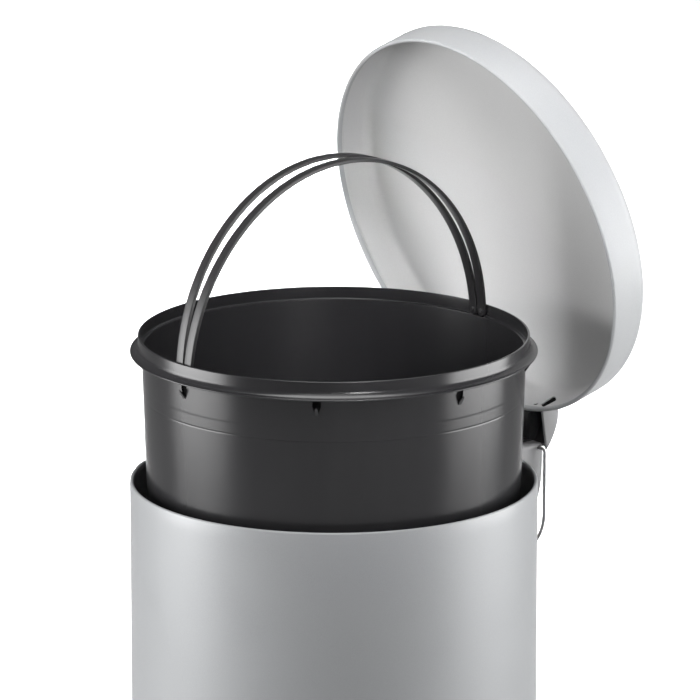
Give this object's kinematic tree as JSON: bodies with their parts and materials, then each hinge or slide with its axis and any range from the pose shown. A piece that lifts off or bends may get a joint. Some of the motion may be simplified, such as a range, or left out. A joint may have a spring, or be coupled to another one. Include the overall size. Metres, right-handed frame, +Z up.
{
  "type": "pedal bin",
  "caption": "Round pedal bin with a domed hinged lid, a lift-out inner bucket with two folding hoops, a foot pedal with a push rod, and a wire carry bail.",
  "frame": {"origin": "on the can's axis, at floor level", "axes": "+Z up along the can's axis, the pedal points to -Y, the lid's hinge is at +Y and its axis runs along X"},
  "size_m": [0.2524, 0.3486, 0.6279],
  "materials": {
    "can_coat": "fine satin powder coat",
    "lid_coat": "fine satin powder coat",
    "bucket_plastic": "satin",
    "hoop_plastic": "satin",
    "grey_plastic": "satin",
    "plain_steel": "plain",
    "bright_wire": "bright",
    "black_plastic": "matte",
    "rubber": "matte"
  },
  "bodies": {
    "can": {"outer_body": "can_coat", "base_ring": "black_plastic", "floor_ring": "rubber", "bottom_plate": "plain_steel", "pedal_bracket": "plain_steel", "bracket_rivet_left_front": "plain_steel", "bracket_rivet_left_back": "plain_steel", "bracket_rivet_right_front": "plain_steel", "bracket_rivet_right_back": "plain_steel", "pedal_pin": "plain_steel", "hinge_housing": "grey_plastic", "housing_rivet_left_top": "plain_steel", "housing_rivet_left_bottom": "plain_steel", "housing_rivet_right_top": "plain_steel", "housing_rivet_right_bottom": "plain_steel", "hinge_pin": "plain_steel"},
    "lid": {"lid_shell": "lid_coat", "lid_hinge_piece": "grey_plastic"},
    "pedal": {"pedal_lever": "plain_steel", "pedal_tread": "black_plastic", "pedal_pad": "rubber"},
    "rod": {"push_rod": "plain_steel"},
    "bucket": {"bucket": "bucket_plastic"},
    "left_hoop": {"hoop_left": "hoop_plastic"},
    "right_hoop": {"hoop_right": "hoop_plastic"},
    "bail": {"carry_bail": "bright_wire"}
  },
  "joints": [
    {"name": "lid_hinge", "type": "hinge", "parent": "can", "child": "lid", "pos_m": [0, 0.1459, 0.35875], "axis": [1, 0, 0], "range_deg": [0, 74.73]},
    {"name": "pedal_pivot", "type": "hinge", "parent": "can", "child": "pedal", "pos_m": [0, 0, 0.02], "axis": [1, 0, 0], "range_deg": [-8, 0]},
    {"name": "rod_slide", "type": "slide", "parent": "can", "child": "rod", "axis": [0, 0, 1], "range_m": [-0.017, 0]},
    {"name": "bucket_lift", "type": "slide", "parent": "can", "child": "bucket", "axis": [0, 0, 1], "range_m": [-0.0803, 0]},
    {"name": "hoop_left_fold", "type": "hinge", "parent": "bucket", "child": "left_hoop", "pos_m": [-0.0036, 0, 0.4476], "axis": [0, 1, 0], "range_deg": [-88.2, 0]},
    {"name": "hoop_right_fold", "type": "hinge", "parent": "bucket", "child": "right_hoop", "pos_m": [0.0036, 0, 0.4476], "axis": [0, 1, 0], "range_deg": [0, 87.5]},
    {"name": "bail_swing", "type": "hinge", "parent": "can", "child": "bail", "pos_m": [0, 0.1459, 0.35875], "axis": [1, 0, 0], "range_deg": [-12, 120]}
  ],
  "couplings": [
    {"joint": "pedal_pivot", "follows": "lid_hinge", "ratio": -0.107},
    {"joint": "rod_slide", "follows": "lid_hinge", "m_per_rad": -0.01303},
    {"joint": "bucket_lift", "follows": "lid_hinge", "m_per_rad": -0.06156},
    {"joint": "hoop_left_fold", "follows": "lid_hinge", "ratio": -1.18},
    {"joint": "hoop_right_fold", "follows": "lid_hinge", "ratio": 1.17}
  ]
}
